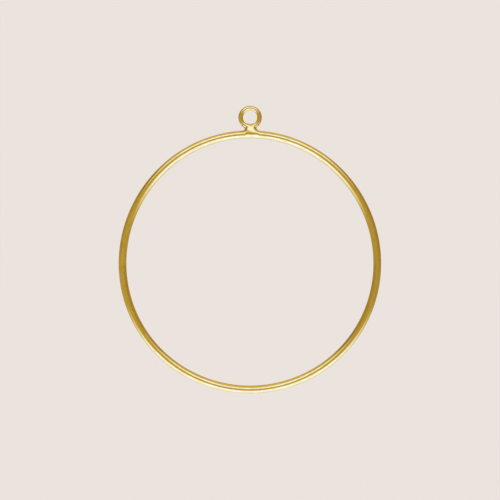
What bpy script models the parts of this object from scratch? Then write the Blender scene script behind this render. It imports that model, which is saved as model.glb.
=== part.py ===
"""A small wreath frame: a round wire hoop that hangs from a ring soldered on its top.

Units are metres, with +Z up. The origin is the centre of the hanging ring. The hoop and
the ring both lie in the XZ plane, and the hoop hangs below the origin.
"""

import math

import bmesh
import bpy

OBJECT_NAME = "wreath_frame"

# Driving dimensions.
HOOP_DIAMETER = 0.1016          # outside of the hoop, four inches
HOOP_WIRE = 0.0030              # diameter of the hoop's wire
RING_HOLE = 0.0055              # inside of the hanging ring
RING_WIRE = 0.0018              # diameter of the ring's wire
RING_TO_HOOP = 0.00075          # space between the two wires, which the solder fills
JOINT_SOLDER = 0.0003           # solder between the two butted ends of a wire
CLEARANCE = 0.0001              # air between two pieces that touch

# The saddle of solder between the ring and the hoop.
FLANK_RADIUS = 0.00108          # hollow of its flanks, seen from the front
SADDLE_DEPTH = 0.0024           # front to back, a little more than the ring's wire
SADDLE_EDGE = 0.0003            # rounding of its front and back edges
HOLE_FILL = 0.0005              # how far it rises into the ring's hole
CROWN_HALF_WIDTH = 0.0019       # half of its width at the top, inside the ring
FOOT_HALF_WIDTH = 0.0034        # half of its width at the bottom, on the hoop
FOOT_DROP = 0.0007              # how far its foot reaches below the top of the hoop

# How finely the round shapes are divided.
HOOP_POINTS = 120
HOOP_BEVEL_RESOLUTION = 8
RING_POINTS = 64
RING_BEVEL_RESOLUTION = 6
FLANK_POINTS = 9
EDGE_SEGMENTS = 3

# Sizes worked out from the driving dimensions.
HOOP_RADIUS = (HOOP_DIAMETER - HOOP_WIRE) / 2
RING_RADIUS = (RING_HOLE + RING_WIRE) / 2
RING_OUTER_RADIUS = RING_RADIUS + RING_WIRE / 2
HOOP_TOP_Z = -(RING_OUTER_RADIUS + RING_TO_HOOP)
HOOP_CENTRE_Z = HOOP_TOP_Z - HOOP_DIAMETER / 2
JOINT_GAP = JOINT_SOLDER + 2 * CLEARANCE

WELD_DISTANCE = 0.000001
TOP = math.radians(90)
BOTTOM = math.radians(-90)

GOLD = (0.80, 0.56, 0.16, 1.0)
SOLDER_GOLD = (0.78, 0.57, 0.21, 1.0)


def remove_all_objects():
    """Start from an empty scene."""
    for obj in list(bpy.data.objects):
        bpy.data.objects.remove(obj, do_unlink=True)


def new_collection(name):
    collection = bpy.data.collections.new(name)
    bpy.context.scene.collection.children.link(collection)
    return collection


def metal(name, colour, roughness):
    """A polished metal with one colour."""
    material = bpy.data.materials.new(name)
    material.use_nodes = True
    shader = material.node_tree.nodes["Principled BSDF"]
    shader.inputs["Base Color"].default_value = colour
    shader.inputs["Metallic"].default_value = 1.0
    shader.inputs["Roughness"].default_value = roughness
    return material


def move_to(obj, collection):
    """Take an object out of its collections and put it in this one."""
    for old in list(obj.users_collection):
        old.objects.unlink(obj)
    collection.objects.link(obj)


def bevel_sides(resolution):
    """Sides of a round curve bevel of this resolution."""
    return 4 + 2 * resolution


def bent_wire(name, radius, wire, centre_z, joint_angle, points, resolution):
    """A round wire bent into a circle, whose two ends face each other across the joint."""
    curve = bpy.data.curves.new(name, "CURVE")
    curve.dimensions = "3D"
    curve.bevel_depth = wire / 2
    curve.bevel_resolution = resolution
    curve.use_fill_caps = True
    spline = curve.splines.new("POLY")
    spline.points.add(points - 1)
    spline.use_smooth = True
    half_gap = math.asin(JOINT_GAP / 2 / radius)
    first = joint_angle + half_gap
    sweep = 2 * math.pi - 2 * half_gap
    for index, point in enumerate(spline.points):
        angle = first + sweep * index / (points - 1)
        point.co = (radius * math.cos(angle), 0, radius * math.sin(angle), 1)
    obj = bpy.data.objects.new(name, curve)
    obj.location = (0, 0, centre_z)
    return obj


def joint_disc(name, wire, centre_z, sides):
    """The thin disc of solder between the butted ends of a wire that runs along X there."""
    bpy.ops.mesh.primitive_cylinder_add(
        vertices=sides,
        radius=wire / 2,
        depth=JOINT_SOLDER,
        location=(0, 0, centre_z),
        rotation=(0, math.radians(90), 0),
    )
    disc = bpy.context.object
    disc.name = name
    disc.data.shade_smooth()
    disc.data.set_sharp_from_angle(angle=math.radians(40))
    return disc


def wire_cutter(name, radius, wire, centre_z, points, sides):
    """The room that a bent wire and the clearance around it take out of the solder."""
    bpy.ops.mesh.primitive_torus_add(
        major_segments=points,
        minor_segments=sides,
        major_radius=radius,
        minor_radius=wire / 2 + CLEARANCE,
        location=(0, 0, centre_z),
        rotation=(math.radians(90), 0, 0),
    )
    cutter = bpy.context.object
    cutter.name = name
    cutter.hide_render = True
    cutter.display_type = "WIRE"
    return cutter


def flank_centre():
    """X and Z of the centre of the arc that touches the ring and the hoop from outside."""
    to_ring = RING_OUTER_RADIUS + FLANK_RADIUS
    to_hoop = HOOP_DIAMETER / 2 + FLANK_RADIUS
    spacing = -HOOP_CENTRE_Z
    drop = (spacing ** 2 + to_ring ** 2 - to_hoop ** 2) / (2 * spacing)
    return math.sqrt(to_ring ** 2 - drop ** 2), -drop


def saddle_outline():
    """Front outline of the saddle, all the way round, as (x, z) points."""
    centre_x, centre_z = flank_centre()
    ring_angle = math.atan2(-centre_z, -centre_x)
    hoop_angle = math.atan2(HOOP_CENTRE_Z - centre_z, -centre_x) + 2 * math.pi
    right = [(CROWN_HALF_WIDTH, HOLE_FILL - RING_HOLE / 2)]
    for index in range(FLANK_POINTS):
        angle = ring_angle + (hoop_angle - ring_angle) * index / (FLANK_POINTS - 1)
        x = centre_x + FLANK_RADIUS * math.cos(angle)
        z = centre_z + FLANK_RADIUS * math.sin(angle)
        right.append((x, z))
    right.append((FOOT_HALF_WIDTH, HOOP_TOP_Z - FOOT_DROP))
    left = [(-x, z) for x, z in reversed(right)]
    return right + left


def plate(name, outline, thickness):
    """A closed mesh plate with this outline in XZ, centred on the plane y = 0."""
    curve = bpy.data.curves.new(name + "_outline", "CURVE")
    curve.dimensions = "2D"
    curve.fill_mode = "BOTH"
    curve.extrude = thickness / 2
    spline = curve.splines.new("POLY")
    spline.points.add(len(outline) - 1)
    spline.use_cyclic_u = True
    for point, (x, z) in zip(spline.points, outline):
        point.co = (x, z, 0, 1)
    guide = bpy.data.objects.new(name + "_outline", curve)
    guide.rotation_euler = (math.radians(90), 0, 0)
    bpy.context.scene.collection.objects.link(guide)
    bpy.context.view_layer.update()
    evaluated = guide.evaluated_get(bpy.context.evaluated_depsgraph_get())
    mesh = bpy.data.meshes.new_from_object(evaluated)
    solid = bmesh.new()
    solid.from_mesh(mesh)
    bmesh.ops.remove_doubles(solid, verts=solid.verts, dist=WELD_DISTANCE)
    bmesh.ops.recalc_face_normals(solid, faces=solid.faces)
    solid.to_mesh(mesh)
    solid.free()
    obj = bpy.data.objects.new(name, mesh)
    obj.matrix_world = guide.matrix_world
    bpy.data.objects.remove(guide, do_unlink=True)
    return obj


def solder_saddle(name, cutters):
    """A thick plate of solder with rounded edges, with the two wires cut out of it."""
    obj = plate(name, saddle_outline(), SADDLE_DEPTH)
    rounding = obj.modifiers.new("rounded_edges", "BEVEL")
    rounding.width = SADDLE_EDGE
    rounding.segments = EDGE_SEGMENTS
    rounding.limit_method = "ANGLE"
    rounding.angle_limit = math.radians(60)
    for cutter in cutters:
        cut = obj.modifiers.new("cut_" + cutter.name, "BOOLEAN")
        cut.operation = "DIFFERENCE"
        cut.solver = "EXACT"
        cut.object = cutter
    return obj


def main():
    remove_all_objects()
    parts = new_collection(OBJECT_NAME)
    cutters = new_collection("cutters")

    plated_wire = metal("gold_plated_wire", GOLD, 0.12)
    ring_metal = metal("gold_plated_ring", GOLD, 0.14)
    hoop_solder = metal("hoop_joint_metal", SOLDER_GOLD, 0.18)
    ring_solder = metal("ring_joint_metal", SOLDER_GOLD, 0.18)
    saddle_solder = metal("saddle_metal", SOLDER_GOLD, 0.20)

    hoop_sides = bevel_sides(HOOP_BEVEL_RESOLUTION)
    ring_sides = bevel_sides(RING_BEVEL_RESOLUTION)

    hoop = bent_wire("hoop_wire", HOOP_RADIUS, HOOP_WIRE, HOOP_CENTRE_Z, TOP,
                     HOOP_POINTS, HOOP_BEVEL_RESOLUTION)
    ring = bent_wire("hanging_ring", RING_RADIUS, RING_WIRE, 0, BOTTOM,
                     RING_POINTS, RING_BEVEL_RESOLUTION)
    hoop_disc = joint_disc("hoop_joint_solder", HOOP_WIRE, HOOP_CENTRE_Z + HOOP_RADIUS, hoop_sides)
    ring_disc = joint_disc("ring_joint_solder", RING_WIRE, -RING_RADIUS, ring_sides)

    hoop_room = wire_cutter("hoop_room", HOOP_RADIUS, HOOP_WIRE, HOOP_CENTRE_Z, HOOP_POINTS, hoop_sides)
    ring_room = wire_cutter("ring_room", RING_RADIUS, RING_WIRE, 0, RING_POINTS, ring_sides)
    saddle = solder_saddle("ring_to_hoop_solder", [hoop_room, ring_room])

    for cutter in (hoop_room, ring_room):
        move_to(cutter, cutters)

    finishes = (
        (hoop, plated_wire),
        (ring, ring_metal),
        (hoop_disc, hoop_solder),
        (ring_disc, ring_solder),
        (saddle, saddle_solder),
    )
    origin = bpy.data.objects.new("frame_origin", None)
    parts.objects.link(origin)
    for obj, material in finishes:
        move_to(obj, parts)
        obj.data.materials.append(material)
        obj.parent = origin


main()
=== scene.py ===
"""Looks of the wreath frame: a polished, gold-plated wire hoop with a soldered hanging ring."""

import math

import bmesh
import bpy
import numpy as np
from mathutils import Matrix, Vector


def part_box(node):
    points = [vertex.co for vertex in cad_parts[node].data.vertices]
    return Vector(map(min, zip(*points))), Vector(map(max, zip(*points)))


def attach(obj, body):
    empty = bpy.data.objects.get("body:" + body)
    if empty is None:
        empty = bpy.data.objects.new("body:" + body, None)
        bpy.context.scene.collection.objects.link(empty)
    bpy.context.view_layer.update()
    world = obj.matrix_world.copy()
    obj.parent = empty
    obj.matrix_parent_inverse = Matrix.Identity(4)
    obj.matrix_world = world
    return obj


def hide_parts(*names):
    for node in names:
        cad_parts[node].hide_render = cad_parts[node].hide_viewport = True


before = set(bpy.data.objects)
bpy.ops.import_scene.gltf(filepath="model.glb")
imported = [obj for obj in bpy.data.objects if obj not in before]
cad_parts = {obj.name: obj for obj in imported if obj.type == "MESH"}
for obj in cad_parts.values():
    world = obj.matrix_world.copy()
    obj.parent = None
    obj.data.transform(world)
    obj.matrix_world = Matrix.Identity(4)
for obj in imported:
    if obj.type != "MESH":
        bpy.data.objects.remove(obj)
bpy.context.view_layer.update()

MM = 0.001

# Sizes read from the frame. The hoop and the ring lie in the XZ plane, and the origin is the ring's centre.
hoop_low, hoop_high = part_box("hoop_wire")
ring_low, ring_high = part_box("hanging_ring")
HOOP_WIRE_RADIUS = (hoop_high.y - hoop_low.y) / 2
RING_WIRE_RADIUS = (ring_high.y - ring_low.y) / 2
HOOP_CENTRE_Z = (hoop_high.z + hoop_low.z) / 2
HOOP_RADIUS = (hoop_high.z - hoop_low.z) / 2 - HOOP_WIRE_RADIUS
RING_CENTRE_Z = (ring_high.z + ring_low.z) / 2
RING_RADIUS = (ring_high.z - ring_low.z) / 2 - RING_WIRE_RADIUS

# The hoop was bent by hand, and it is a little out of round: it has three lobes, and its top bulges.
HOOP_LOBES = 3
HOOP_LOBE_HEIGHT = 0.15 * MM
TOP_BULGE = 0.15 * MM

# The ring stands a hair to the right of the middle.
RING_CENTRE_X = 0.08 * MM

# Length of wire that the solder of each butt joint takes up.
BUTT_LENGTH = 0.12 * MM

# How finely the wires are divided, along them and round them.
HOOP_SEGMENTS = 480
HOOP_SIDES = 48
RING_SEGMENTS = 160
RING_SIDES = 40
BUTT_SEGMENTS = 2

TOP = math.radians(90)
BOTTOM = math.radians(-90)
FULL_TURN = 2 * math.pi
SLOPE_STEP = math.radians(0.01)    # how far each way a wire's direction is measured
FRONT = Vector((0, -1, 0))


# ---------------------------------------------------------------- wires


def hoop_bend_radius(angle):
    """Distance from the hoop's centre to the middle of its wire, for one angle or an array."""
    bulge = TOP_BULGE * np.sin(angle) * (1 + np.sin(angle)) / 2
    return HOOP_RADIUS - HOOP_LOBE_HEIGHT * np.sin(HOOP_LOBES * angle) + bulge


def hoop_point(angle):
    """Centre of the hoop's wire at this angle, in the XZ plane."""
    radius = hoop_bend_radius(angle)
    return radius * math.cos(angle), HOOP_CENTRE_Z + radius * math.sin(angle)


def ring_point(angle):
    """Centre of the ring's wire at this angle, in the XZ plane."""
    return RING_CENTRE_X + RING_RADIUS * math.cos(angle), RING_CENTRE_Z + RING_RADIUS * math.sin(angle)


def direction_along(route, angle):
    """Unit vector along a route at this angle, in the XZ plane."""
    ahead_x, ahead_z = route(angle + SLOPE_STEP)
    behind_x, behind_z = route(angle - SLOPE_STEP)
    return Vector((ahead_x - behind_x, 0, ahead_z - behind_z)).normalized()


def wire_piece(name, route, wire_radius, first, last, segments, sides):
    """A round wire along a route from one angle to another, with flat ends.

    The attribute called wire holds the distance along the wire and round it, in millimetres.
    """
    mesh = bmesh.new()
    place = mesh.verts.layers.float_vector.new("wire")
    rings = []
    travelled = 0.0
    before = None
    for index in range(segments + 1):
        angle = first + (last - first) * index / segments
        x, z = route(angle)
        along = direction_along(route, angle)
        outward = Vector((along.z, 0, -along.x))
        centre = Vector((x, 0, z))
        travelled += (centre - before).length if before else 0.0
        before = centre
        ring = []
        for side in range(sides):
            turn = FULL_TURN * side / sides
            offset = outward * math.cos(turn) + FRONT * math.sin(turn)
            vertex = mesh.verts.new(centre + offset * wire_radius)
            vertex[place] = (travelled / MM, turn * wire_radius / MM, 0)
            ring.append(vertex)
        rings.append(ring)
    for here, there in zip(rings, rings[1:]):
        for side in range(sides):
            other = (side + 1) % sides
            mesh.faces.new((here[side], here[other], there[other], there[side]))
    ends = [mesh.faces.new(rings[0][::-1]), mesh.faces.new(rings[-1])]
    bmesh.ops.recalc_face_normals(mesh, faces=mesh.faces)
    for face in mesh.faces:
        face.smooth = True
    for end in ends:
        end.smooth = False
        for edge in end.edges:
            edge.smooth = False
    return finished(name, mesh)


def closed_wire(name, route, bend_radius, wire_radius, joint_angle, segments, sides):
    """A wire bent until its ends meet, and the solder of the butt joint between them."""
    half = BUTT_LENGTH / 2 / bend_radius
    last = joint_angle + FULL_TURN - half
    wire = wire_piece(name, route, wire_radius, joint_angle + half, last, segments, sides)
    butt = wire_piece(name + "_butt", route, wire_radius,
                      joint_angle - half, joint_angle + half, BUTT_SEGMENTS, sides)
    return wire, butt


def finished(name, mesh):
    """An object made from a bmesh, in the scene's collection."""
    data = bpy.data.meshes.new(name)
    mesh.to_mesh(data)
    mesh.free()
    obj = bpy.data.objects.new(name, data)
    bpy.context.scene.collection.objects.link(obj)
    return obj


# ---------------------------------------------------------------- solder saddle

SOLDER_REACH = 4.6 * MM            # farthest point of the solder from its centre
SOLDER_CENTRE_Z = hoop_high.z - 0.1 * MM    # just inside the top of the hoop

# The lump, in rows of four sizes in millimetres: a height above the hoop's top, and the lump's half
# depth, half width and middle in X there. It sits a little to the right.
LUMP_PROFILE = (
    (-2.10, 1.10, 2.00, 0.30),
    (-1.50, 1.52, 2.60, 0.30),
    (-1.00, 1.65, 2.80, 0.30),
    (-0.50, 1.70, 2.80, 0.30),
    (-0.10, 1.695, 2.68, 0.29),
    (0.30, 1.66, 2.52, 0.28),
    (0.70, 1.57, 2.37, 0.27),
    (1.06, 1.47, 2.22, 0.26),
    (1.44, 1.34, 1.88, 0.22),
    (1.83, 1.17, 1.50, 0.17),
    (2.20, 0.94, 1.30, 0.12),
    (2.50, 0.69, 1.25, 0.10),
    (2.81, 0.36, 1.35, 0.08),
)
LUMP_SQUARENESS = 2.2              # 2 is an ellipse, and more is fuller at its corners
LUMP_TOP_BEND = 6.0                # bend radius of the lump's top, the bottom of the hole, in millimetres
LUMP_TOP_ROUNDING = 0.35           # rounding of the top's edge, in millimetres

# Reach of the fillets where the lump meets the wires. They are wider on the right.
RING_MENISCUS = 0.35 * MM          # on the outside of the ring
HOLE_MENISCUS = 0.7 * MM           # in the ring's hole
HOOP_MENISCUS = 0.8 * MM           # on the hoop
MENISCUS_GROWTH = 0.16             # growth of the reach, per distance to the right
MENISCUS_LEAST = 0.3 * MM

FILM = 0.01 * MM                   # solder on the wires near the joint
SINK = 0.03 * MM                   # how deep the solder's ends lie inside the wires
FEATHER_START = 3.1 * MM           # distance from the centre at which the film starts to sink

# The grid on which the solder's skin is found.
GRID_STEP = 0.08 * MM
GRID_MARGIN = 2 * GRID_STEP        # space beyond the solder's reach
GRID_HALF_DEPTH = 2.1 * MM
PULLS = 4                          # rounds of pulling the vertices onto the skin
SLOPE_NUDGE = 0.002 * MM           # how far a vertex is nudged to find the distance's slope
LEAST_SLOPE_SQUARED = 0.05         # keeps the steps short where the distance is flat
NEAR_ZERO = 0.001                  # keeps the lump's middle from dividing by zero


def smooth_union(a, b, reach):
    """Distance to two shapes together, with a fillet of this reach between them."""
    overlap = np.maximum(reach - np.abs(a - b), 0) / reach
    return np.minimum(a, b) - overlap * overlap * reach / 4


def smooth_step(share):
    """A share from 0 to 1 that starts and ends gently."""
    return share * share * (3 - 2 * share)


def hoop_distance(x, y, z):
    """Distance to the hoop's wire."""
    line = hoop_bend_radius(np.arctan2(z - HOOP_CENTRE_Z, x))
    return np.hypot(np.hypot(x, z - HOOP_CENTRE_Z) - line, y) - HOOP_WIRE_RADIUS


def ring_distance(x, y, z):
    """Distance to the ring's wire."""
    line = np.hypot(x - RING_CENTRE_X, z - RING_CENTRE_Z)
    return np.hypot(line - RING_RADIUS, y) - RING_WIRE_RADIUS


def smooth_profile(place, places, values):
    """Values read between the given places along a smooth curve."""
    places, values = np.array(places), np.array(values)
    slopes = np.gradient(values, places)
    place = np.clip(place, places[0], places[-1])
    index = np.clip(np.searchsorted(places, place) - 1, 0, len(places) - 2)
    width = places[index + 1] - places[index]
    t = (place - places[index]) / width
    low, high = values[index], values[index + 1]
    low_slope, high_slope = slopes[index] * width, slopes[index + 1] * width
    return (low * (1 + 2 * t) * (1 - t) ** 2 + high * t * t * (3 - 2 * t)
            + low_slope * t * (1 - t) ** 2 - high_slope * t * t * (1 - t))


def lump_distance(x, y, z):
    """Rough distance to the lump, an upright loft of full ellipses."""
    heights, *columns = zip(*LUMP_PROFILE)
    height = (z - hoop_high.z) / MM
    depth, width, middle = (smooth_profile(height, heights, column) for column in columns)
    power = LUMP_SQUARENESS
    x = x / MM - middle
    across, deep = np.abs(x / width), np.abs(y / MM / depth)
    scaled = np.maximum((across ** power + deep ** power) ** (1 / power), NEAR_ZERO)
    slope = scaled ** (1 - power) * np.hypot(across ** (power - 1) / width, deep ** (power - 1) / depth)
    sides = (scaled - 1) / np.maximum(slope, NEAR_ZERO)
    above = height - heights[-1] - x * x / (2 * LUMP_TOP_BEND)
    topped = -smooth_union(-sides, -above, LUMP_TOP_ROUNDING)
    return np.maximum(topped, heights[0] - height) * MM


def saddle_distance(x, y, z):
    """Distance to the solder's skin: negative inside, for arrays of points."""
    lump = lump_distance(x, y, z)
    growth = MENISCUS_GROWTH * x
    ring_meniscus = np.maximum(RING_MENISCUS + growth, MENISCUS_LEAST)
    in_hole = np.clip((z - ring_low.z) / (2 * RING_WIRE_RADIUS), 0, 1)
    ring_meniscus = ring_meniscus + (HOLE_MENISCUS - ring_meniscus) * in_hole ** 2
    hoop_meniscus = np.maximum(HOOP_MENISCUS + growth, MENISCUS_LEAST)
    joined = smooth_union(lump, ring_distance(x, y, z), ring_meniscus)
    joined = smooth_union(joined, hoop_distance(x, y, z), hoop_meniscus)
    from_centre = np.sqrt(x ** 2 + y ** 2 + (z - SOLDER_CENTRE_Z) ** 2)
    feather = np.clip((from_centre - FEATHER_START) / (SOLDER_REACH - FEATHER_START), 0, 1)
    return np.maximum(joined - FILM + (SINK + FILM) * smooth_step(feather), from_centre - SOLDER_REACH)


CELL_CORNERS = [(i, j, k) for i in (0, 1) for j in (0, 1) for k in (0, 1)]
CELL_EDGES = [(a, b) for a in CELL_CORNERS for b in CELL_CORNERS
              if a < b and sum(map(abs, np.subtract(a, b))) == 1]
# The four cells round a grid line, as steps back along the two axes across it.
CELLS_ROUND_LINE = ((1, 1), (0, 1), (0, 0), (1, 0))


def at_corner(values, corner):
    """The grid's values at this corner of every cell."""
    return values[tuple(slice(start, start + count - 1) for start, count in zip(corner, values.shape))]


def skin_vertices(values, low, step):
    """A vertex in each cell that the skin runs through, and the number of each cell's vertex."""
    cells = tuple(count - 1 for count in values.shape)
    total = np.zeros(cells + (3,))
    crossings = np.zeros(cells)
    for a, b in CELL_EDGES:
        value_a, value_b = at_corner(values, a), at_corner(values, b)
        crossed = (value_a < 0) != (value_b < 0)
        gap = np.where(crossed, value_a - value_b, 1)
        share = np.where(crossed, value_a / gap, 0)
        for axis in range(3):
            total[..., axis] += crossed * (a[axis] + share * (b[axis] - a[axis]))
        crossings += crossed
    used = crossings > 0
    number = np.full(cells, -1)
    number[used] = np.arange(used.sum())
    vertices = np.array(low) + step * (np.argwhere(used) + total[used] / crossings[used][:, None])
    return vertices, number


def skin_quads(values, number):
    """A quad round each grid line that crosses the skin, facing out."""
    quads = []
    for axis in range(3):
        side_a, side_b = [other for other in range(3) if other != axis]
        crossings = np.argwhere((values < 0) != (np.roll(values, -1, axis=axis) < 0))
        off_far_side = (crossings >= number.shape).any(axis=1)
        on_near_side = crossings[:, [side_a, side_b]].min(axis=1) < 1
        for cell in crossings[~(off_far_side | on_near_side)]:
            quad = []
            for back_a, back_b in CELLS_ROUND_LINE:
                place = list(cell)
                place[side_a] -= back_a
                place[side_b] -= back_b
                quad.append(int(number[tuple(place)]))
            faces_out = (values[tuple(cell)] < 0) != (axis == 1)
            quads.append(quad if faces_out else quad[::-1])
    return quads


def skin_of(distance, low, high, step):
    """Vertices and quads of the surface where a distance function is zero, by surface nets."""
    counts = [int(math.ceil((high[axis] - low[axis]) / step)) + 1 for axis in range(3)]
    lines = [low[axis] + step * np.arange(counts[axis]) for axis in range(3)]
    values = distance(*np.meshgrid(*lines, indexing="ij"))
    vertices, number = skin_vertices(values, low, step)
    return vertices, skin_quads(values, number)


def pulled_to_skin(distance, vertices):
    """Vertices moved along the distance's slope until they lie on its zero surface."""
    points = vertices.copy()
    for _ in range(PULLS):
        value = distance(*points.T)
        slope = np.zeros_like(points)
        for axis in range(3):
            shifted = points.copy()
            shifted[:, axis] += SLOPE_NUDGE
            slope[:, axis] = (distance(*shifted.T) - value) / SLOPE_NUDGE
        size = np.maximum((slope ** 2).sum(axis=1), LEAST_SLOPE_SQUARED)
        points -= (value / size)[:, None] * slope
    return points


def solder_saddle(name):
    """The fillet of solder between the ring and the hoop, whose edges run out on the wires."""
    reach = SOLDER_REACH + GRID_MARGIN
    low = (-reach, -GRID_HALF_DEPTH, SOLDER_CENTRE_Z - reach)
    high = (reach, GRID_HALF_DEPTH, SOLDER_CENTRE_Z + reach)
    vertices, quads = skin_of(saddle_distance, low, high, GRID_STEP)
    vertices = pulled_to_skin(saddle_distance, vertices)
    data = bpy.data.meshes.new(name)
    data.from_pydata(vertices.tolist(), [], quads)
    mesh = bmesh.new()
    mesh.from_mesh(data)
    bpy.data.meshes.remove(data)
    bmesh.ops.recalc_face_normals(mesh, faces=mesh.faces)
    place = mesh.verts.layers.float_vector.new("wire")
    for vertex in mesh.verts:
        vertex[place] = vertex.co / MM
    for face in mesh.faces:
        face.smooth = True
    return finished(name, mesh)


# ---------------------------------------------------------------- nodes


def node(tree, kind, inputs=None, **settings):
    """A node of this kind, whose inputs are set to values or linked to sockets."""
    made = tree.nodes.new(kind)
    for key, value in settings.items():
        setattr(made, key, value)
    for key, value in (inputs or {}).items():
        if isinstance(value, bpy.types.NodeSocket):
            tree.links.new(value, made.inputs[key])
        else:
            made.inputs[key].default_value = value
    return made


def noise(tree, vector, scale, detail=2.0, roughness=0.6):
    return node(tree, "ShaderNodeTexNoise", {
        "Vector": vector, "Scale": scale, "Detail": detail, "Roughness": roughness,
    }).outputs["Fac"]


def remap(tree, value, low, high, to_low, to_high):
    """The value taken smoothly from one range to another, and held at its ends."""
    return node(tree, "ShaderNodeMapRange", {
        "Value": value, "From Min": low, "From Max": high, "To Min": to_low, "To Max": to_high,
    }, interpolation_type="SMOOTHSTEP").outputs["Result"]


def ramp(tree, value, zone):
    """0 where the zone starts, 1 where it is full, and smooth between them."""
    start, full = zone
    return remap(tree, value, start, full, 0, 1)


def arithmetic(tree, operation, a, b):
    return node(tree, "ShaderNodeMath", {0: a, 1: b}, operation=operation).outputs[0]


def product(tree, *values):
    made = values[0]
    for value in values[1:]:
        made = arithmetic(tree, "MULTIPLY", made, value)
    return made


def blend_colours(tree, factor, a, b):
    """Colour a where the factor is 0, and colour b where it is 1."""
    return node(tree, "ShaderNodeMix", {0: factor, 6: a, 7: b}, data_type="RGBA").outputs[2]


# ---------------------------------------------------------------- gold plating

PALE_GOLD = (1.0, 0.755, 0.29, 1)
DEEP_GOLD = (0.93, 0.625, 0.19, 1)
# Painted shade: the browner gold that the right side of the hoop is darkened toward, where less light falls.
RIGHT_SHADE_GOLD = (0.76, 0.50, 0.16, 1)
TARNISH = (0.62, 0.38, 0.10, 1)
# Near black, for the dark spots in the outer corners of the joint.
JOINT_CORNER_DARK = (0.10, 0.085, 0.05, 1)

# How fine the patterns are. Those of the solid are in cycles per metre, and those of the wire are in
# cycles per millimetre along it and round it.
PIT_SCALE = 5200.0
MOTTLE_SCALE = 1800.0
PATCH_SCALE = 260.0
LINE_SCALE = (0.25, 9.0, 1.0)
BAND_SCALE = (0.5, 2.6, 1.0)

# Where a pattern starts to show and where it is strongest, as values of its noise.
LINES_SHOW = (0.3, 0.7)
TONES_SHOW = (1.72, 2.28)          # the sum of four noise values
TARNISH_SHOWS = (0.60, 0.78)
CORNER_SPOTS_BREAK_UP = (0.35, 0.6)
CORNER_SPOTS_SHOW = (0.1, 0.7)

RIGHT_SHADE_ZONE = (0.55 * HOOP_RADIUS, HOOP_RADIUS)    # where painted shade starts to darken the right side and where it is strongest, along X
# Painted shade: the most that the right side is darkened.
MOST_RIGHT_SHADE = 0.36
MOST_TARNISH = 0.35
MOST_CORNER_DARK = 0.9
CORNER_SPOT_RAGGEDNESS = (0.4, 1.3)       # how much the grain thins and thickens the dark spots
ROUGHNESS_SPREAD = (0.75, 1.4)     # how much the draw lines smooth and roughen the plating
LINE_HEIGHT = 0.6                  # height of the draw lines in the bump
BUMP_STRENGTH = 0.12
BUMP_DISTANCE = 0.01 * MM

# Dark spots in the outer corners of the joint: X, Z and radius of each spot, in millimetres.
JOINT_CORNER_SPOTS = (
    (-2.95, -3.10, 0.52),
    (3.38, -2.90, 0.50),
    (-2.80, -5.18, 0.48),
)


def joint_corner_spot(tree, place):
    """1 in the middle of a dark corner spot, 0 outside all of them."""
    x, _, z = node(tree, "ShaderNodeSeparateXYZ", {0: place}).outputs
    flat = node(tree, "ShaderNodeCombineXYZ", {"X": x, "Z": z}).outputs[0]
    spot = 0.0
    for spot_x, spot_z, radius in JOINT_CORNER_SPOTS:
        middle = (spot_x * MM, 0, spot_z * MM)
        distance = node(tree, "ShaderNodeVectorMath", {0: flat, 1: middle}, operation="DISTANCE")
        inside = ramp(tree, distance.outputs["Value"], (radius * MM, 0))
        spot = arithmetic(tree, "MAXIMUM", inside, spot)
    return spot


def wire_noise(tree, scale, detail):
    """Noise stretched along the wire."""
    place = node(tree, "ShaderNodeAttribute", attribute_name="wire").outputs["Vector"]
    stretched = node(tree, "ShaderNodeMapping", {"Vector": place, "Scale": scale}).outputs[0]
    return noise(tree, stretched, 1.0, detail)


def plating_colour(tree, solid, pits, mottling):
    """Gold in two tones, with painted shade that darkens the right side toward a browner gold, tarnished
    pits and dark spots in the joint's corners.
    """
    patches = noise(tree, solid, PATCH_SCALE, 3.0, 0.55)
    mottle = noise(tree, solid, MOTTLE_SCALE)
    bands = wire_noise(tree, BAND_SCALE, 2.0)
    uneven = arithmetic(tree, "ADD", arithmetic(tree, "ADD", patches, mottle),
                        arithmetic(tree, "ADD", bands, mottle))
    swing = 0.5 * mottling
    deeper = remap(tree, uneven, *TONES_SHOW, 0.5 - swing, 0.5 + swing)
    colour = blend_colours(tree, deeper, PALE_GOLD, DEEP_GOLD)
    x = node(tree, "ShaderNodeSeparateXYZ", {0: solid}).outputs["X"]
    # Painted shade: the right side of the hoop is darkened toward a browner gold, as if less light fell
    # there.
    right_shade = remap(tree, x, *RIGHT_SHADE_ZONE, 0, MOST_RIGHT_SHADE)
    colour = blend_colours(tree, right_shade, colour, RIGHT_SHADE_GOLD)
    tarnish = remap(tree, pits, *TARNISH_SHOWS, 0, MOST_TARNISH)
    colour = blend_colours(tree, tarnish, colour, TARNISH)
    # Dark spots in the joint's outer corners, broken up by the grain.
    ragged = product(tree, joint_corner_spot(tree, solid), remap(tree, pits, *CORNER_SPOTS_BREAK_UP, *CORNER_SPOT_RAGGEDNESS))
    return blend_colours(tree, remap(tree, ragged, *CORNER_SPOTS_SHOW, 0, MOST_CORNER_DARK), colour, JOINT_CORNER_DARK)


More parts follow.
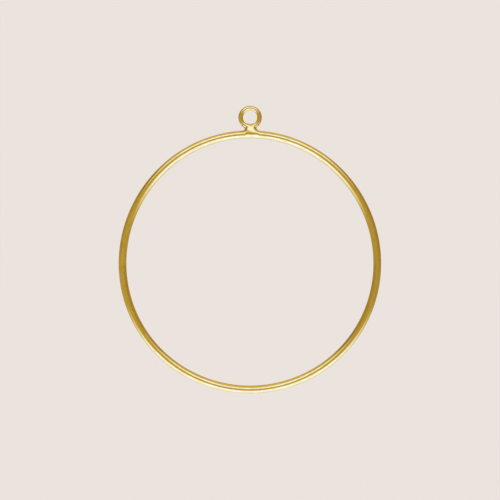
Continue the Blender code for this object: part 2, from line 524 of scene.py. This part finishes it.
def gold_plate(name, roughness=0.09, grain=0.5, streaks=1.0, mottling=1.0):
    """Polished gold plating, with draw lines, a fine grain and patches."""
    material = bpy.data.materials.new(name)
    material.use_nodes = True
    tree = material.node_tree
    shader = tree.nodes["Principled BSDF"]
    solid = node(tree, "ShaderNodeTexCoord").outputs["Object"]
    lines = wire_noise(tree, LINE_SCALE, 3.0)
    pits = noise(tree, solid, PIT_SCALE)

    tree.links.new(plating_colour(tree, solid, pits, mottling), shader.inputs["Base Color"])
    shader.inputs["Metallic"].default_value = 1.0
    smoothest, roughest = ROUGHNESS_SPREAD
    rough = remap(tree, lines, *LINES_SHOW, roughness * smoothest, roughness * roughest)
    tree.links.new(rough, shader.inputs["Roughness"])

    height = arithmetic(tree, "ADD", product(tree, lines, LINE_HEIGHT * streaks), product(tree, pits, grain))
    bump = node(tree, "ShaderNodeBump", {
        "Strength": BUMP_STRENGTH, "Distance": BUMP_DISTANCE, "Height": height,
    })
    tree.links.new(bump.outputs["Normal"], shader.inputs["Normal"])
    return material


# ---------------------------------------------------------------- light

# Colours of the light round the metal. Up is +Z and the camera stands at -Y.
LEFT_WALL = (0.405, 0.325, 0.105, 1)
RIGHT_WALL = (0.385, 0.295, 0.09, 1)
LEFT_SKIRTING = (0.485, 0.43, 0.165, 1)
RIGHT_SKIRTING = (0.45, 0.385, 0.16, 1)
CAMERA_WALL = (0.475, 0.42, 0.16, 1)
DARK_CORNER = (0.305, 0.23, 0.07, 1)
HIGH_WALL = (0.56, 0.50, 0.18, 1)
CEILING = (0.655, 0.575, 0.20, 1)
WARM_GLOW = (0.80, 0.86, 0.72, 1)
WHITE_LIGHT = (1.03, 1.39, 3.0, 1)
BACKGROUND = (0.831, 0.768, 0.723, 1)    # only the camera sees it

STRIP_LIFT = 0.31                  # how much higher the strip hangs at the sides than in the middle
STRIP_LEVEL = 0.83                 # its brightness, as a share of the table's
STRIP_TAPER = 0.35                 # how much sooner the strip fades toward the sides
FAR_WALL_RISE = 0.09               # how much higher the dim wall reaches behind the object
SIDE_TABLE_DROP = 0.12             # how much lower the table's edge looks at the sides
CAMERA_SHADOW = 0.17               # how far the camera's shadow reaches over the table
FAR_TABLE_LEVEL = 0.60             # the table's brightness behind the object

# Where each zone starts and where it is full, along one axis of the direction that the metal reflects,
# or along the lifted height, which is Z less the strip's lift.
FROM_LEFT_TO_RIGHT = (-0.6, 0.6)   # along X
FROM_WALL_TO_SKIRTING = (0.15, -0.15)    # along Z
ROUND_CAMERA = (-0.6, -0.95)       # along Y
CORNER_AT_LEFT = (-0.55, -0.75)    # along X
CORNER_OVER_WALL = (0.15, 0.33)    # along the lifted height
FROM_HIGH_WALL_TO_CEILING = (0.75, 0.97)    # along Z
FROM_WALL_TO_HIGH_WALL = (0.43, 0.56)    # along the lifted height
BEHIND_OBJECT = (-0.1, 0.4)        # along Y
SHADOW_WIDTH = (0.14, 0.02)        # along X, both ways
SHADOW_IN_FRONT = (0.0, -0.3)      # along Y
TABLE_BELOW = (-0.10, -0.66)       # along Z
TABLE_BEHIND = (-0.25, 0.35)       # along Y
STRIP_FROM_BELOW = (0.08, 0.50)    # along the lifted height
STRIP_FROM_ABOVE = (0.94, 0.64)    # along the lifted height
STRIP_IN_FRONT = (0.0, -0.6)       # along Y
# Where the glow and the white light start and are full, as shares of the full brightness.
GLOW_SHOWS = (0, 0.5)
WHITE_SHOWS = (0.4, 0.95)


def studio_walls(tree, x, y, z, lifted):
    """Light from the warm, dim walls and from the ceiling."""
    left_to_right = ramp(tree, x, FROM_LEFT_TO_RIGHT)
    upper = blend_colours(tree, left_to_right, LEFT_WALL, RIGHT_WALL)
    lower = blend_colours(tree, left_to_right, LEFT_SKIRTING, RIGHT_SKIRTING)
    walls = blend_colours(tree, ramp(tree, z, FROM_WALL_TO_SKIRTING), upper, lower)
    walls = blend_colours(tree, ramp(tree, y, ROUND_CAMERA), walls, CAMERA_WALL)
    corner = product(tree, ramp(tree, lifted, CORNER_OVER_WALL), ramp(tree, x, CORNER_AT_LEFT))
    walls = blend_colours(tree, corner, walls, DARK_CORNER)
    high = blend_colours(tree, ramp(tree, z, FROM_HIGH_WALL_TO_CEILING), HIGH_WALL, CEILING)
    behind = product(tree, ramp(tree, y, BEHIND_OBJECT), FAR_WALL_RISE)
    over_wall = ramp(tree, arithmetic(tree, "SUBTRACT", lifted, behind), FROM_WALL_TO_HIGH_WALL)
    return blend_colours(tree, over_wall, walls, high)


def table_light(tree, y, z, sideways):
    """Brightness of the table, which is dimmer behind the object and under the camera."""
    near_middle = product(tree, ramp(tree, sideways, SHADOW_WIDTH), ramp(tree, y, SHADOW_IN_FRONT))
    shadow = product(tree, near_middle, CAMERA_SHADOW)
    edge = arithmetic(tree, "ADD", product(tree, sideways, SIDE_TABLE_DROP), shadow)
    seen_height = arithmetic(tree, "ADD", z, edge)
    far_side = remap(tree, y, *TABLE_BEHIND, 1, FAR_TABLE_LEVEL)
    return product(tree, ramp(tree, seen_height, TABLE_BELOW), far_side)


def strip_light(tree, y, sideways, lifted):
    """Brightness of the strip that hangs over the camera."""
    across = product(tree, ramp(tree, lifted, STRIP_FROM_BELOW), ramp(tree, lifted, STRIP_FROM_ABOVE))
    turned_away = arithmetic(tree, "ADD", y, product(tree, sideways, STRIP_TAPER))
    return product(tree, across, ramp(tree, turned_away, STRIP_IN_FRONT), STRIP_LEVEL)


def studio_light():
    """A soft studio round the object: a bright table below, one strip above, warm dim walls."""
    world = bpy.data.worlds.new("studio")
    bpy.context.scene.world = world
    world.use_nodes = True
    tree = world.node_tree
    direction = node(tree, "ShaderNodeTexCoord").outputs["Generated"]
    x, y, z = node(tree, "ShaderNodeSeparateXYZ", {0: direction}).outputs
    sideways = arithmetic(tree, "ABSOLUTE", x, 0)
    lifted = arithmetic(tree, "SUBTRACT", z, product(tree, sideways, STRIP_LIFT))

    room = studio_walls(tree, x, y, z, lifted)
    table = table_light(tree, y, z, sideways)
    strip = strip_light(tree, y, sideways, lifted)
    bright = arithmetic(tree, "MAXIMUM", table, strip)
    glow = blend_colours(tree, ramp(tree, bright, GLOW_SHOWS), room, WARM_GLOW)
    seen_in_metal = blend_colours(tree, ramp(tree, bright, WHITE_SHOWS), glow, WHITE_LIGHT)

    from_camera = node(tree, "ShaderNodeLightPath").outputs["Is Camera Ray"]
    colour = blend_colours(tree, from_camera, seen_in_metal, BACKGROUND)
    tree.links.new(colour, tree.nodes["Background"].inputs["Color"])


# ---------------------------------------------------------------- stage and camera

FLOOR_DROP = 45 * MM               # floor below the hoop's lowest point
FLOOR_SIZE = 6.0
FLOOR_DIFFUSE = (0.30, 0.28, 0.27, 1)
FLOOR_GLOW = (0.6602, 0.617, 0.6153, 1)

CAMERA_LENS = 100.0                # focal length in millimetres
CAMERA_DISTANCE = 0.5375
CAMERA_X = 0.04 * MM
CAMERA_AIM_Z = -51.25 * MM
CAMERA_CLIP = (0.01, 20.0)


def pale_floor():
    """A plain pale floor under the hanging hoop, in the tone of the background."""
    bpy.ops.mesh.primitive_plane_add(size=FLOOR_SIZE, location=(0, 0, hoop_low.z - FLOOR_DROP))
    floor = bpy.context.object
    floor.name = "floor"
    material = bpy.data.materials.new("pale_floor")
    material.use_nodes = True
    shader = material.node_tree.nodes["Principled BSDF"]
    shader.inputs["Base Color"].default_value = FLOOR_DIFFUSE
    shader.inputs["Roughness"].default_value = 1.0
    shader.inputs["Specular IOR Level"].default_value = 0.0
    shader.inputs["Emission Color"].default_value = FLOOR_GLOW
    shader.inputs["Emission Strength"].default_value = 1.0
    floor.data.materials.append(material)
    floor.visible_glossy = False


def front_camera():
    """A camera square to the hoop, level with the middle of the whole object."""
    data = bpy.data.cameras.new("camera")
    data.lens = CAMERA_LENS
    data.clip_start, data.clip_end = CAMERA_CLIP
    camera = bpy.data.objects.new("camera", data)
    camera.location = (CAMERA_X, -CAMERA_DISTANCE, CAMERA_AIM_Z)
    camera.rotation_euler = (math.radians(90), 0, 0)
    bpy.context.scene.collection.objects.link(camera)
    bpy.context.scene.camera = camera


def plain_colours():
    """Shows every colour as it is, with no film look."""
    view = bpy.context.scene.view_settings
    view.view_transform = "Standard"
    view.look = "None"
    view.exposure = 0.0
    view.gamma = 1.0


# ---------------------------------------------------------------- the object


def build_object():
    """The wires and their solder, each with its plating."""
    hoop, hoop_butt = closed_wire("hoop", hoop_point, HOOP_RADIUS, HOOP_WIRE_RADIUS, TOP,
                                  HOOP_SEGMENTS, HOOP_SIDES)
    ring, ring_butt = closed_wire("ring", ring_point, RING_RADIUS, RING_WIRE_RADIUS, BOTTOM,
                                  RING_SEGMENTS, RING_SIDES)
    saddle = solder_saddle("solder_saddle")

    wire_gold = gold_plate("plated_wire")
    ring_gold = gold_plate("plated_ring", roughness=0.05, grain=0.15, streaks=0.3, mottling=0.3)
    solder_gold = gold_plate("plated_solder", roughness=0.05, grain=0.3, streaks=0.0, mottling=0.2)

    pieces = (
        (hoop, "hoop_wire", "plated_wire", wire_gold),
        (hoop_butt, "hoop_joint_solder", "plated_solder", wire_gold),
        (ring, "hanging_ring", "plated_wire", ring_gold),
        (ring_butt, "ring_joint_solder", "plated_solder", ring_gold),
        (saddle, "ring_to_hoop_solder", "plated_solder", solder_gold),
    )
    for piece, stands_for, slot, material in pieces:
        piece.data.materials.append(material)
        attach(piece, "root")
        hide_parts(stands_for)


front_camera()
build_object()
pale_floor()
studio_light()
plain_colours()
